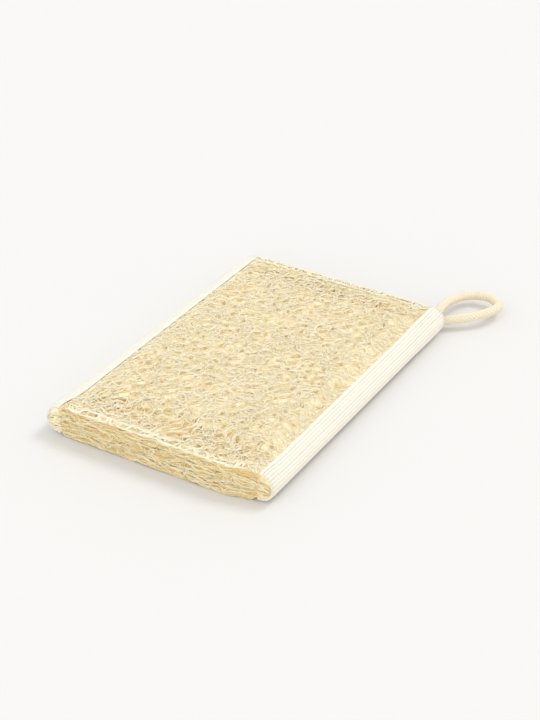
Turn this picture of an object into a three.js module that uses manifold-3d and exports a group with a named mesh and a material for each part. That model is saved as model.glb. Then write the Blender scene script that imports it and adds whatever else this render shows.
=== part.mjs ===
// Natural loofah dish pad: three pressed sheets of loofah netting laid on one another, with a ribbed
// cotton tape folded over each long side and a cord loop tucked into the far end of the right tape.
// Millimetres, +Z up, +Y along the tapes. The origin is under the middle of the pad, at its underside.
import * as THREE from 'three';
import { mergeVertices } from 'three/addons/utils/BufferGeometryUtils.js';
import Module from 'manifold-3d';

// Driving dimensions of the pad
const PAD_LENGTH = 120;
const PAD_WIDTH = 80;
const PAD_THICKNESS = 11.8;
const BOUND_THICKNESS = 8.4;
const GAP = 0.35;

// Folded tape: where its underside lies, its cloth and its ribs
const TAPE_LIFT = 0.9;
const TAPE_WALL = 0.8;
const TAPE_REACH = 5.5;
const RIB_PITCH = 1.05;
const RIB_DEPTH = 0.16;
const SELVEDGE = 1.3;
const TAPE_STEPS = 12;

// The far end of the right tape swells over the cord ends
const SWELL = 0.11;
const SWELL_START = 36;
const SWELL_LENGTH = 12;

// Pressed sheets: the crown fades between these two distances from the middle
const CROWN_HALF = 29;
const END_ROUND = 1.8;
const LIP_DROP = 0.9;
const BACK_LIP_DROP = 2.4;
const VALLEY_DEPTH = 1.2;
const VALLEY_INSET = 10;
const VALLEY_SPREAD = 4.6;

// Raised net: how far the strands stand out, how deep the pits go and how wide the strands are
const STRAND_RISE = 0.3;
const PIT_DEPTH = 1.25;
const PIT_SPREAD = 0.3;
const PIT_SHARE_OF_SHEET = 0.5;
const STRAND_SHARE = 0.27;
const WANDER = 0.17;
const ZIGZAG = 0.16;
const END_ROWS = 2;
const END_SKIN = 5.6;

// The underside stands on a flat spot under the middle and on four posts; the rest is just clear
const UNDER_LIFT = 0.25;
const REST_SPOT = 10;
const REST_FADE = 4;
const FEET = [[-16, -45], [16, -45], [16, 45], [-16, 45]];

// Cord loop
const CORD_DIAMETER = 3.4;
const CORD_SIDES = 8;
const CORD_STEPS = 36;

// Worked out from the sizes above
const HALF_LENGTH = PAD_LENGTH / 2;
const HALF_WIDTH = PAD_WIDTH / 2;
const TAPE_RADIUS = BOUND_THICKNESS / 2;
const TAPE_MIDDLE = TAPE_LIFT + TAPE_RADIUS;
const TAPE_INNER_EDGE = HALF_WIDTH - TAPE_REACH;
const BEND_CENTRE = HALF_WIDTH - TAPE_RADIUS;
const NET_HALF = TAPE_INNER_EDGE - GAP / 2;
const SHEET_HALF = BEND_CENTRE + 1.3;
const BOUND_LOW = TAPE_LIFT + TAPE_WALL + GAP;
const BOUND_HIGH = TAPE_LIFT + BOUND_THICKNESS - TAPE_WALL - GAP;

const COTTON = { color: 0xf7f1df, roughness: 0.9, metalness: 0 };
const LOOFAH = { color: 0xe9d7a3, roughness: 0.85, metalness: 0 };
const CORD = { color: 0xf2e9cf, roughness: 0.9, metalness: 0 };

// Repeatable random numbers between 0 and 1
function seededRandom(seed) {
  let state = seed;
  return () => {
    state = (state + 0x6d2b79f5) | 0;
    let mixed = Math.imul(state ^ (state >>> 15), 1 | state);
    mixed = (mixed + Math.imul(mixed ^ (mixed >>> 7), 61 | mixed)) ^ mixed;
    return ((mixed ^ (mixed >>> 14)) >>> 0) / 4294967296;
  };
}

// 1 over the crown of the pad, falling to 0 where the tapes grip it
function crown(x) {
  return 1 - THREE.MathUtils.smoothstep(Math.abs(x), CROWN_HALF, NET_HALF);
}

// Underside and top of one sheet, before the dips of the top face; level 0 is the lowest
function sheetHeights(level, x) {
  const low = THREE.MathUtils.lerp(BOUND_LOW, UNDER_LIFT, crown(x));
  const high = THREE.MathUtils.lerp(BOUND_HIGH, PAD_THICKNESS, crown(x));
  const thickness = (high - low - 2 * GAP) / 3;
  const under = low + level * (thickness + GAP);
  return { under, over: under + thickness };
}

// The top face has a shallow valley inside the lip along each unbound end
function topDip(x, y) {
  const inset = HALF_LENGTH - Math.abs(y);
  const valley = VALLEY_DEPTH * Math.exp(-(((inset - VALLEY_INSET) / VALLEY_SPREAD) ** 2));
  const drop = y < 0 ? LIP_DROP : BACK_LIP_DROP;
  const lip = drop * (1 - THREE.MathUtils.smoothstep(inset, END_ROUND, VALLEY_INSET));
  return (valley + lip) * crown(x);
}

// 1 where the lowest sheet lies flat on the surface, fading to 0 round it
function restingShare(sheet, x, y) {
  if (sheet.level > 0) return 0;
  return 1 - THREE.MathUtils.smoothstep(Math.hypot(x, y), REST_SPOT, REST_SPOT + REST_FADE);
}

// A sheet's skin runs up its front end, along its top, down its back end and back underneath.
// Each stretch has a length along the skin, a number of rows, and net or plain cloth on it.
function skinStretches(sheet) {
  const faceLength = 2 * (sheet.reach - END_ROUND);
  return [
    { length: END_SKIN, rows: END_ROWS, net: true },
    { length: faceLength, rows: sheet.topRows, net: sheet.topRows > 1 },
    { length: END_SKIN, rows: END_ROWS, net: true },
    { length: faceLength, rows: sheet.underRows, net: sheet.underRows > 1 },
  ];
}

// A point of the skin at x and at a share of the way along one stretch
function skinPoint(sheet, x, stretch, share) {
  const { under, over } = sheetHeights(sheet.level, x);
  const straight = sheet.reach - END_ROUND;
  const highest = (y) => over - (sheet.topRows > 1 ? topDip(x, y) : 0);
  if (stretch === 1) {
    const y = straight * (2 * share - 1);
    return new THREE.Vector3(x, y, highest(y));
  }
  if (stretch === 3) {
    const y = straight * (1 - 2 * share);
    return new THREE.Vector3(x, y, under * (1 - restingShare(sheet, x, y)));
  }
  const side = stretch === 0 ? -1 : 1;
  const angle = Math.PI * (stretch === 0 ? share - 0.5 : 0.5 - share);
  const half = (highest(straight) - under) / 2;
  const y = side * (straight + END_ROUND * Math.cos(angle));
  return new THREE.Vector3(x, y, under + half + half * Math.sin(angle));
}

// The skin by its length from the front end's lower edge, which makes jumps between stretches easy
function makeSkin(sheet) {
  const stretches = skinStretches(sheet);
  const starts = [0];
  for (const stretch of stretches) starts.push(starts[starts.length - 1] + stretch.length);
  const around = starts[4];
  const at = (x, along) => {
    const wrapped = THREE.MathUtils.euclideanModulo(along, around);
    const index = Math.min(3, starts.filter((start) => start <= wrapped).length - 1);
    return skinPoint(sheet, x, index, (wrapped - starts[index]) / stretches[index].length);
  };
  const outward = (x, along) => {
    const across = at(x + 0.05, along).sub(at(x - 0.05, along));
    const forward = at(x, along + 0.05).sub(at(x, along - 0.05));
    return across.cross(forward).normalize();
  };
  return { at, outward, stretches, starts, around };
}

// Rows round the skin, each with its start and length along the skin and whether it carries net
function skinRows(skin) {
  const rows = [];
  skin.stretches.forEach((stretch, index) => {
    for (let row = 0; row < stretch.rows; row += 1) {
      const length = stretch.length / stretch.rows;
      const start = skin.starts[index] + row * length;
      rows.push({ start, length, net: stretch.net, under: index === 3 });
    }
  });
  return rows;
}

// Corner posts of the cells: places on the skin, wandering a little from a brick bond
function placePosts(rows, columns, random) {
  const pitch = NET_HALF / columns;
  const wander = () => WANDER * 2 * (random() - 0.5);
  return rows.map((row, index) => {
    const before = rows[(index + rows.length - 1) % rows.length];
    const free = row.net && before.net ? Math.min(row.length, before.length) : 0;
    const posts = [];
    for (let k = 0; k <= 2 * columns; k += 1) {
      const inside = free > 0 && k > 0 && k < 2 * columns;
      const zig = (k + index) % 2 === 0 ? ZIGZAG : -ZIGZAG;
      const x = -NET_HALF + pitch * (k + (inside ? 2 * wander() : 0));
      const along = row.start + (inside ? free * (zig + wander()) : 0);
      const rise = inside && !row.under && !before.under ? STRAND_RISE : 0;
      posts.push({ x, along, rise });
    }
    return posts;
  });
}

// A cell's corners in turn: along its lower posts, then back along its upper posts
function cellsOfRow(columns, index) {
  const cuts = [];
  for (let k = index % 2; k <= 2 * columns; k += 2) cuts.push(k);
  if (cuts[0] !== 0) cuts.unshift(0);
  if (cuts[cuts.length - 1] !== 2 * columns) cuts.push(2 * columns);
  return cuts.slice(1).map((end, i) => ({ from: cuts[i], to: end }));
}

class SkinMesh {
  constructor() {
    this.points = [];
    this.faces = [];
  }

  add(point) {
    this.points.push(point);
    return this.points.length - 1;
  }

  quad(a, b, c, d) {
    this.faces.push([a, b, c], [a, c, d]);
  }

  // The strands round a pit are one flat band, and the pit goes down to one point
  pit(corners, band, centre) {
    corners.forEach((corner, i) => {
      const next = (i + 1) % corners.length;
      this.quad(corner, corners[next], band[next], band[i]);
      this.faces.push([band[i], band[next], centre]);
    });
  }

  geometry() {
    const geometry = new THREE.BufferGeometry().setFromPoints(this.points);
    geometry.setIndex(this.faces.flat());
    return geometry;
  }
}

// How far a pit goes down: a share of the sheet at most, and nothing on the resting spot
function pitDepth(sheet, row, middle, floor, random) {
  const { under, over } = sheetHeights(sheet.level, middle.x);
  const spread = 1 + PIT_SPREAD * 2 * (random() - 0.5);
  const resting = row.under && Math.hypot(floor.x, floor.y) < REST_SPOT / 2;
  return resting ? 0 : spread * Math.min(PIT_DEPTH, PIT_SHARE_OF_SHEET * (over - under));
}

// One cell of the net: its band starts at the shared posts and its pit goes down in the middle
function addCell(mesh, sheet, skin, row, corners, random) {
  const middle = { x: 0, along: 0 };
  for (const corner of corners) {
    middle.x += corner.x / corners.length;
    middle.along += corner.along / corners.length;
  }
  const band = corners.map((corner) => {
    const x = THREE.MathUtils.lerp(corner.x, middle.x, STRAND_SHARE);
    const along = THREE.MathUtils.lerp(corner.along, middle.along, STRAND_SHARE);
    return mesh.add(skin.at(x, along));
  });
  const floor = skin.at(middle.x, middle.along);
  const depth = pitDepth(sheet, row, middle, floor, random);
  floor.addScaledVector(skin.outward(middle.x, middle.along), -depth);
  mesh.pit(corners.map((corner) => corner.id), band, mesh.add(floor));
}

// The post of the underside nearest to a foot's place comes down to the surface
function lowerFoot(mesh, posts, x, y) {
  const distance = (point) => Math.hypot(point.x - x, point.y - y, point.z);
  const points = posts.flat().map((post) => mesh.points[post.id]);
  const foot = points.reduce((best, point) => (distance(point) < distance(best) ? point : best));
  foot.z = 0;
}

// One pressed sheet with a raised net on its ends and on the face that shows
function sheetGeometry(sheet) {
  const random = seededRandom(sheet.seed);
  const skin = makeSkin(sheet);
  const rows = skinRows(skin);
  const last = 2 * sheet.columns;
  const mesh = new SkinMesh();
  const posts = placePosts(rows, sheet.columns, random);
  for (const post of posts.flat()) {
    const outward = skin.outward(post.x, post.along).multiplyScalar(post.rise);
    post.id = mesh.add(skin.at(post.x, post.along).add(outward));
  }
  if (sheet.level === 0) FEET.forEach(([x, y]) => lowerFoot(mesh, posts, x, y));
  const edges = [-1, 1].map((side) => {
    return posts.map((line) => mesh.add(skin.at(side * SHEET_HALF, line[0].along)));
  });
  const around = (post) => ({ ...post, along: post.along + skin.around });
  rows.forEach((row, index) => {
    const next = (index + 1) % rows.length;
    const lower = posts[index];
    const upper = next > 0 ? posts[next] : posts[0].map(around);
    mesh.quad(edges[0][index], lower[0].id, upper[0].id, edges[0][next]);
    mesh.quad(lower[last].id, edges[1][index], edges[1][next], upper[last].id);
    if (!row.net) {
      for (let k = 0; k < last; k += 1) mesh.quad(lower[k].id, lower[k + 1].id, upper[k + 1].id, upper[k].id);
      return;
    }
    for (const { from, to } of cellsOfRow(sheet.columns, index)) {
      const corners = [...lower.slice(from, to + 1), ...upper.slice(from, to + 1).reverse()];
      addCell(mesh, sheet, skin, row, corners, random);
    }
  });
  closeSide(mesh, edges[0], true);
  closeSide(mesh, edges[1], false);
  return mesh.geometry();
}

// The gripped side of a sheet is one plain flat face
function closeSide(mesh, edge, left) {
  const outline = edge.map((id) => new THREE.Vector2(mesh.points[id].y, mesh.points[id].z));
  for (const corners of THREE.ShapeUtils.triangulateShape(outline, [])) {
    const face = corners.map((corner) => edge[corner]);
    mesh.faces.push(left ? face.reverse() : face);
  }
}

function meshOf(name, geometry, finish) {
  const mesh = new THREE.Mesh(geometry, new THREE.MeshStandardMaterial(finish));
  mesh.name = name;
  return mesh;
}

const wasm = await Module();
wasm.setup();

// Position-only copy with shared corners, as a solid that can be cut
function toSolid(geometry) {
  const bare = geometry.clone();
  bare.deleteAttribute('normal');
  bare.deleteAttribute('uv');
  const merged = mergeVertices(bare, 1e-4);
  const vertProperties = Float32Array.from(merged.attributes.position.array);
  const triVerts = Uint32Array.from(merged.index.array);
  return new wasm.Manifold(new wasm.Mesh({ numProp: 3, vertProperties, triVerts }));
}

function toGeometry(solid) {
  const { vertProperties, triVerts } = solid.getMesh();
  const geometry = new THREE.BufferGeometry();
  geometry.setAttribute('position', new THREE.BufferAttribute(Float32Array.from(vertProperties), 3));
  geometry.setIndex(new THREE.BufferAttribute(Uint32Array.from(triVerts), 1));
  return geometry;
}

// Under the right tape each sheet's far corner is cut away to leave room for the cord ends
function cutCordCorner(geometry) {
  const room = new THREE.BoxGeometry(10, 12, 20);
  room.translate(CORD_SEAT.x - CORD_DIAMETER / 2 - GAP + 5, CORD_SEAT.y - GAP + 6, TAPE_MIDDLE);
  return toGeometry(toSolid(geometry).subtract(toSolid(room)));
}

// The tape's section, from the inner edge of the top flap round the side to the lower flap
function tapeOutline(offset, ribbed) {
  const radius = TAPE_RADIUS - offset;
  const flap = BEND_CENTRE - TAPE_INNER_EDGE;
  const length = 2 * flap + Math.PI * TAPE_RADIUS;
  const count = ribbed ? 2 * Math.round((length - 2 * SELVEDGE) / RIB_PITCH) : 14;
  const outline = [];
  const place = (run, sunk) => {
    const turn = THREE.MathUtils.clamp((run - flap) / TAPE_RADIUS, 0, Math.PI);
    const spare = run < flap ? flap - run : Math.max(0, run - length + flap);
    const x = BEND_CENTRE - spare + (radius - sunk) * Math.sin(turn);
    outline.push(new THREE.Vector2(x, TAPE_MIDDLE + (radius - sunk) * Math.cos(turn)));
  };
  place(0, 0);
  for (let i = 0; i <= count; i += 1) {
    const run = SELVEDGE + ((length - 2 * SELVEDGE) * i) / count;
    place(run, ribbed && i % 2 === 0 ? RIB_DEPTH : 0);
  }
  place(length, 0);
  return outline;
}

// Cotton tape folded over one long side, straight from end to end
function tapeGeometry(side) {
  const outline = [...tapeOutline(0, true), ...tapeOutline(TAPE_WALL, false).reverse()];
  const section = new THREE.Shape(outline.map((p) => new THREE.Vector2(side * p.x, p.y)));
  const geometry = new THREE.ExtrudeGeometry(section, {
    depth: PAD_LENGTH,
    steps: side > 0 ? TAPE_STEPS : 1,
    bevelEnabled: false,
  });
  geometry.rotateX(Math.PI / 2);
  geometry.translate(0, HALF_LENGTH, 0);
  if (side > 0) swellFarEnd(geometry);
  return geometry;
}

// The tape's thickness grows towards the far end, where the cord ends lie inside it
function swellFarEnd(geometry) {
  const position = geometry.attributes.position;
  for (let i = 0; i < position.count; i += 1) {
    const along = position.getY(i);
    const grow = 1 + SWELL * THREE.MathUtils.smoothstep(along, SWELL_START, SWELL_START + SWELL_LENGTH);
    position.setZ(i, TAPE_MIDDLE + (position.getZ(i) - TAPE_MIDDLE) * grow);
  }
}

// The cord ends lie one above the other in the fold of the tape. From the upper end the cord goes out
// past the end of the tape, sinks a little, and comes round to the lower end, clear of the surface.
const CORD_SEAT = { x: 36.35, y: 51.5 };
const CORD_LIFT = CORD_DIAMETER / 2 + 0.15;
const CORD_ROUTE = [
  [CORD_SEAT.x, CORD_SEAT.y, TAPE_MIDDLE + CORD_LIFT],
  [CORD_SEAT.x, 56, TAPE_MIDDLE + CORD_LIFT],
  [CORD_SEAT.x, 60, TAPE_MIDDLE + CORD_LIFT - 0.05],
  [35.9, 64.2, 6.9],
  [35.55, 68.85, 6.4],
  [35.5, 73.85, 5.4],
  [35.95, 78.95, 4.25],
  [37.5, 83.3, 3.6],
  [40.55, 85.95, 3.45],
  [44.35, 86.55, 3.5],
  [47.95, 85.1, 3.6],
  [50.3, 82.05, 3.95],
  [50.8, 78.25, 4.55],
  [49.35, 74.3, 4.6],
  [46.75, 70.7, 4.3],
  [43.7, 67.8, 3.95],
  [40.8, 65.55, 3.6],
  [38.5, 63.65, 3.3],
  [37.1, 61.5, 3.15],
  [36.45, 58.7, TAPE_MIDDLE - CORD_LIFT + 0.05],
  [CORD_SEAT.x, 55, TAPE_MIDDLE - CORD_LIFT],
  [CORD_SEAT.x, CORD_SEAT.y, TAPE_MIDDLE - CORD_LIFT],
];

function cordGeometry() {
  const points = CORD_ROUTE.map(([x, y, z]) => new THREE.Vector3(x, y, z));
  const route = new THREE.CatmullRomCurve3(points, false, 'centripetal');
  const section = new THREE.Shape();
  for (let side = 0; side < CORD_SIDES; side += 1) {
    const angle = (2 * Math.PI * (side + 0.5)) / CORD_SIDES;
    const corner = [Math.cos(angle), Math.sin(angle)].map((part) => (part * CORD_DIAMETER) / 2);
    if (side === 0) section.moveTo(...corner);
    else section.lineTo(...corner);
  }
  section.closePath();
  return new THREE.ExtrudeGeometry(section, { steps: CORD_STEPS, extrudePath: route, bevelEnabled: false });
}

// Columns are cells across the pad; a face with one row is plain, because another sheet hides it
const SHEETS = [
  { name: 'loofah_sheet_bottom', level: 0, seed: 11, columns: 10, topRows: 1, underRows: 17, reach: 59.3 },
  { name: 'loofah_sheet_middle', level: 1, seed: 23, columns: 12, topRows: 1, underRows: 1, reach: 59.6 },
  { name: 'loofah_sheet_top', level: 2, seed: 37, columns: 15, topRows: 29, underRows: 1, reach: 59.5 },
];

const pad = new THREE.Group();
for (const sheet of SHEETS) pad.add(meshOf(sheet.name, cutCordCorner(sheetGeometry(sheet)), LOOFAH));
pad.add(meshOf('edge_tape_left', tapeGeometry(-1), COTTON));
pad.add(meshOf('edge_tape_right', tapeGeometry(1), COTTON));
pad.add(meshOf('hanging_loop', cordGeometry(), CORD));

export default pad;
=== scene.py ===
"""Dresses the natural loofah dish pad: fibre netting, ribbed cotton tapes and a braided loop.

Metres, +Z up, +Y along the bound sides. Every piece sits at the origin, with its place in its mesh.
"""
import logging
import math
from dataclasses import dataclass, replace
from enum import Enum
from typing import Any, Callable, Optional, Sequence, Union

import bmesh
import bpy
import numpy as np
from mathutils import Matrix, Vector
from mathutils.kdtree import KDTree


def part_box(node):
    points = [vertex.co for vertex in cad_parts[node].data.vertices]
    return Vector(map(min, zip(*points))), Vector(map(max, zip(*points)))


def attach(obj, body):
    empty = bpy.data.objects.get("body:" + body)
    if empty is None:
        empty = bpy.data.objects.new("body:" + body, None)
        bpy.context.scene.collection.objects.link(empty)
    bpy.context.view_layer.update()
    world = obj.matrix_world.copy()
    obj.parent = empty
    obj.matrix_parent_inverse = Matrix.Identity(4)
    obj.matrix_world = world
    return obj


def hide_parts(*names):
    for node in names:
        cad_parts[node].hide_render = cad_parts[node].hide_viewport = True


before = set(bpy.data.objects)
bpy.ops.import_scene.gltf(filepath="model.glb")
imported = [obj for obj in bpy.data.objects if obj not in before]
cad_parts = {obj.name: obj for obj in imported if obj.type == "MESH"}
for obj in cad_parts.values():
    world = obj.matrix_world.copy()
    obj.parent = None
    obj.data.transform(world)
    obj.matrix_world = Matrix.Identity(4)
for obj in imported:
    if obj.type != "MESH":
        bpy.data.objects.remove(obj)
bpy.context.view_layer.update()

MM = 0.001
TAU = 2 * math.pi
FIBRE_SIDES = 3
WELD_REACH = 0.002 * MM
NORMAL_REACH = 0.05 * MM
RANK_STEP = 10_000_000
log = logging.getLogger("loofah_pad")

Colour = tuple[float, float, float]
Array = np.ndarray


def smooth_step(value: Array, low: float, high: float) -> Array:
    """Returns 0 below low and 1 above high, with a smooth rise between."""
    share = np.clip((value - low) / (high - low), 0, 1)
    return share * share * (3 - 2 * share)


def blend_values(first: Any, second: Any, share: Any) -> Any:
    """Returns the value that lies a share of the way from first to second."""
    return first + (second - first) * share


def unit(vectors: Array) -> Array:
    """Returns the vectors at length 1."""
    length = np.linalg.norm(vectors, axis=-1, keepdims=True)
    return vectors / np.maximum(length, 1e-12)


def rotate(vectors: Array, turn: Array) -> Array:
    """Returns flat vectors turned by the angles."""
    cos, sin = np.cos(turn), np.sin(turn)
    x, y = vectors[..., 0], vectors[..., 1]
    return np.stack([cos * x - sin * y, sin * x + cos * y], axis=-1)


class Wire:
    """A shader socket that takes part in sums, each of which adds its Math node."""

    def __init__(self, paint: "Paint", socket: bpy.types.NodeSocket) -> None:
        """Holds one output socket of a material."""
        self.paint = paint
        self.socket = socket

    def _sum(self, operation: str, first: "Number", second: "Number") -> "Wire":
        """Adds one Math node and returns its result."""
        return self.paint.wire("ShaderNodeMath", {"operation": operation}, {0: first, 1: second})

    def __add__(self, other: "Number") -> "Wire":
        """Returns self + other."""
        return self._sum("ADD", self, other)

    def __radd__(self, other: "Number") -> "Wire":
        """Returns other + self."""
        return self._sum("ADD", other, self)

    def __sub__(self, other: "Number") -> "Wire":
        """Returns self - other."""
        return self._sum("SUBTRACT", self, other)

    def __rsub__(self, other: "Number") -> "Wire":
        """Returns other - self."""
        return self._sum("SUBTRACT", other, self)

    def __mul__(self, other: "Number") -> "Wire":
        """Returns self * other."""
        return self._sum("MULTIPLY", self, other)

    def __rmul__(self, other: "Number") -> "Wire":
        """Returns other * self."""
        return self._sum("MULTIPLY", other, self)

    def clamped(self) -> "Wire":
        """Returns the value held between 0 and 1."""
        return self.paint.wire("ShaderNodeClamp", {}, {"Value": self})

    def contrast(self, gain: float, loss: float) -> "Wire":
        """Returns the value times the gain and less the loss, held between 0 and 1."""
        return (self * gain - loss).clamped()


Number = Union[float, Wire]


@dataclass(frozen=True)
class ThreadLines:
    """Thin curly lines in a finish: how close, how thin, where they start and how strong."""

    scale: float
    thinness: float
    shift: float
    weight: float


class Paint:
    """Builds the nodes of one material."""

    def __init__(self, name: str) -> None:
        """Starts an empty material.

        Args:
            name: The material's name.
        """
        self.material = bpy.data.materials.new(name)
        self.material.use_nodes = True
        self.tree = self.material.node_tree
        self.tree.nodes.clear()

    def node(self, kind: str, settings: dict[str, Any], values: dict[Any, Any]) -> bpy.types.Node:
        """Adds a node, with its settings first and then the values or links of its sockets.

        Args:
            kind: The node's type.
            settings: Attributes of the node; stops holds a ramp's places and colours.
            values: Input sockets by name or number, each with a constant or a Wire.

        Returns:
            The new node.
        """
        made = self.tree.nodes.new(kind)
        for key, value in settings.items():
            if key == "stops":
                self._set_stops(made.color_ramp, value)
            else:
                setattr(made, key, value)
        for key, value in values.items():
            if isinstance(value, Wire):
                self.tree.links.new(value.socket, made.inputs[key])
            else:
                made.inputs[key].default_value = value
        return made

    def wire(
        self, kind: str, settings: dict[str, Any], values: dict[Any, Any], output: Any = 0
    ) -> Wire:
        """Adds a node as node() does, and returns one of its outputs."""
        return Wire(self, self.node(kind, settings, values).outputs[output])

    def _set_stops(self, ramp: bpy.types.ColorRamp, stops: Sequence[tuple[float, Colour]]) -> None:
        """Gives a colour ramp its places and colours."""
        while len(ramp.elements) < len(stops):
            ramp.elements.new(1.0)
        for element, (place, colour) in zip(ramp.elements, stops):
            element.position = place
            element.color = (*colour, 1.0)

    def coordinates(self) -> Wire:
        """Returns the Object coordinates."""
        return self.wire("ShaderNodeTexCoord", {}, {}, "Object")

    def stretched(self, scale: tuple[float, float, float]) -> Wire:
        """Returns the Object coordinates, scaled along each axis."""
        return self.wire("ShaderNodeMapping", {}, {"Vector": self.coordinates(), "Scale": scale})

    def noise(self, scale: float, detail: float = 2.0, vector: Optional[Wire] = None) -> Wire:
        """Returns a noise from 0 to 1 on the Object coordinates, or on the vector given."""
        place = vector or self.coordinates()
        return self.wire("ShaderNodeTexNoise", {}, {"Vector": place, "Scale": scale, "Detail": detail})

    def threads(self, lines: ThreadLines) -> Wire:
        """Returns the lines' weight along thin curly lines, falling to 0 between them."""
        moved = {"Vector": self.coordinates(), "Location": (lines.shift,) * 3}
        level = self.noise(lines.scale, 1.0, self.wire("ShaderNodeMapping", {}, moved)) - 0.5
        return (1 - level * level * lines.thinness).clamped() * lines.weight

    def mix(self, share: Number, first: Union[Colour, Wire], second: Union[Colour, Wire]) -> Wire:
        """Returns the colour that lies a share of the way from first to second."""
        pair = [(*c, 1.0) if isinstance(c, tuple) else c for c in (first, second)]
        sockets = {0: share, 6: pair[0], 7: pair[1]}
        return self.wire("ShaderNodeMix", {"data_type": "RGBA"}, sockets, 2)

    def bump(self, height: Wire, distance: float, strength: float = 1.0) -> Wire:
        """Returns a normal that follows the height."""
        return self.wire(
            "ShaderNodeBump", {}, {"Height": height, "Distance": distance, "Strength": strength}, "Normal"
        )

    def surface(self, values: dict[str, Any]) -> bpy.types.Material:
        """Adds the Principled shader and the output.

        Args:
            values: The shader's sockets, each with a constant or a Wire.

        Returns:
            The finished material.
        """
        shader = self.wire("ShaderNodeBsdfPrincipled", {}, values, "BSDF")
        self.node("ShaderNodeOutputMaterial", {}, {"Surface": shader})
        return self.material


@dataclass(frozen=True)
class LoofahFinish:
    """Dried loofah fibre: pale where it stands out, with painted shade that turns it amber where it lies
    deep in the net.
    """

    name: str
    palest: Colour
    pale: Colour
    warm: Colour
    # deep is painted shade: the amber that the net shows deep down, where light reaches only through the
    # fibres.
    deep: Colour
    full_shade_at: float = 1.0 * MM
    shade_start_at: float = -0.05 * MM
    proud_at: float = 0.3 * MM
    roughness: float = 0.7
    patch_scale: float = 420.0
    patch_contrast: tuple[float, float] = (2.2, 0.6)
    streak_scale: float = 1500.0
    streak_contrast: tuple[float, float] = (1.6, 0.55)
    streak_share: float = 0.5
    grain_scale: float = 9000.0
    grain_relief: float = 0.3
    thread_relief: float = 3.0
    bump_height: float = 0.05 * MM
    bump_strength: float = 0.5
    threads: tuple[ThreadLines, ...] = ()

    def make(self) -> bpy.types.Material:
        """Builds the material."""
        paint = Paint(self.name)
        depth = paint.wire("ShaderNodeAttribute", {"attribute_name": "depth"}, {}, "Fac")
        patches = paint.noise(self.patch_scale, 2.0).contrast(*self.patch_contrast)
        streaks = paint.noise(self.streak_scale, 1.0).contrast(*self.streak_contrast)
        # Painted shade: the deeper a vertex lies, the more of the deep amber it takes.
        share = ((depth - self.shade_start_at) * (1 / (self.full_shade_at - self.shade_start_at))).clamped()
        fibre = paint.mix(patches, self.pale, self.warm)
        fibre = paint.mix(streaks * self.streak_share, fibre, self.warm)
        proud = (depth * (-1 / self.proud_at)).clamped()
        colour = paint.mix(share, paint.mix(proud, fibre, self.palest), self.deep)
        relief = paint.noise(self.grain_scale, 2.0)
        if self.threads:
            threads = sum((paint.threads(lines) for lines in self.threads), 0.0).clamped()
            colour = paint.mix(threads * (1 - share), colour, self.palest)
            relief = relief * self.grain_relief + threads * self.thread_relief
        return paint.surface(
            {
                "Base Color": colour,
                "Roughness": self.roughness,
                "Specular IOR Level": 0.25,
                "Normal": paint.bump(relief, self.bump_height, self.bump_strength),
            }
        )


@dataclass(frozen=True)
class CottonFinish:
    """Undyed cotton: fine fuzzy yarn, with painted shade that makes its grooves warmer and darker."""

    name: str
    pale: Colour
    # warm is the yarn's darker tone, and also the painted shade in the grooves.
    warm: Colour
    grain_scale: tuple[float, float, float]
    full_shade_at: float
    sheen: float = 0.25
    yarn_contrast: tuple[float, float] = (1.6, 0.5)
    yarn_share: float = 0.35
    patch_scale: float = 160.0
    patch_share: float = 0.15
    bump_height: float = 0.06 * MM
    bump_strength: float = 0.6

    def make(self) -> bpy.types.Material:
        """Builds the material."""
        paint = Paint(self.name)
        yarn = paint.noise(1.0, 3.0, paint.stretched(self.grain_scale))
        patches = paint.noise(self.patch_scale, 2.0)
        depth = paint.wire("ShaderNodeAttribute", {"attribute_name": "depth"}, {}, "Fac")
        grain = yarn.contrast(*self.yarn_contrast) * self.yarn_share
        colour = paint.mix(grain, self.pale, self.warm)
        colour = paint.mix(patches * self.patch_share, colour, self.warm)
        # Painted shade: the deeper the vertex, the more of the warm colour.
        colour = paint.mix((depth * (1 / self.full_shade_at)).clamped(), colour, self.warm)
        return paint.surface(
            {
                "Base Color": colour,
                "Roughness": 0.85,
                "Specular IOR Level": 0.2,
                "Sheen Weight": self.sheen,
                "Sheen Roughness": 0.6,
                "Normal": paint.bump(yarn, self.bump_height, self.bump_strength),
            }
        )


@dataclass(frozen=True)
class FloorFinish:
    """Matt white studio floor."""

    name: str = "studio_white"
    colour: Colour = (0.745, 0.738, 0.733)
    dust_scale: float = 12.0
    dust_shade: float = 0.99

    def make(self) -> bpy.types.Material:
        """Builds the material."""
        paint = Paint(self.name)
        dust = paint.noise(self.dust_scale, 2.0)
        tint = tuple(c * self.dust_shade for c in self.colour)
        return paint.surface(
            {"Base Color": paint.mix(dust, self.colour, tint), "Roughness": 0.9, "Specular IOR Level": 0.1}
        )


# The fourth colour of each loofah finish is its deep colour: painted shade for the fibre deep in the net and
# in the mat's pits.
LOOFAH = LoofahFinish(
    "loofah_fibre", (0.98, 0.94, 0.81), (0.98, 0.93, 0.77), (0.97, 0.9, 0.7), (0.9, 0.74, 0.4), 0.75 * MM
)
LOOFAH_END = LoofahFinish(
    "loofah_ends", (0.97, 0.88, 0.61), (0.96, 0.85, 0.55), (0.94, 0.8, 0.47), (0.87, 0.66, 0.3), 0.75 * MM
)
MAT_THREADS = (
    ThreadLines(850.0, 700.0, 0.0, 1.0),
    ThreadLines(1300.0, 420.0, 0.37, 0.8),
    ThreadLines(1050.0, 550.0, 0.71, 0.9),
)
LOOFAH_MAT = LoofahFinish(
    "loofah_mat",
    (0.98, 0.94, 0.79),
    (0.95, 0.85, 0.58),
    (0.92, 0.8, 0.5),
    (0.8, 0.6, 0.26),
    threads=MAT_THREADS,
)
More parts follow.
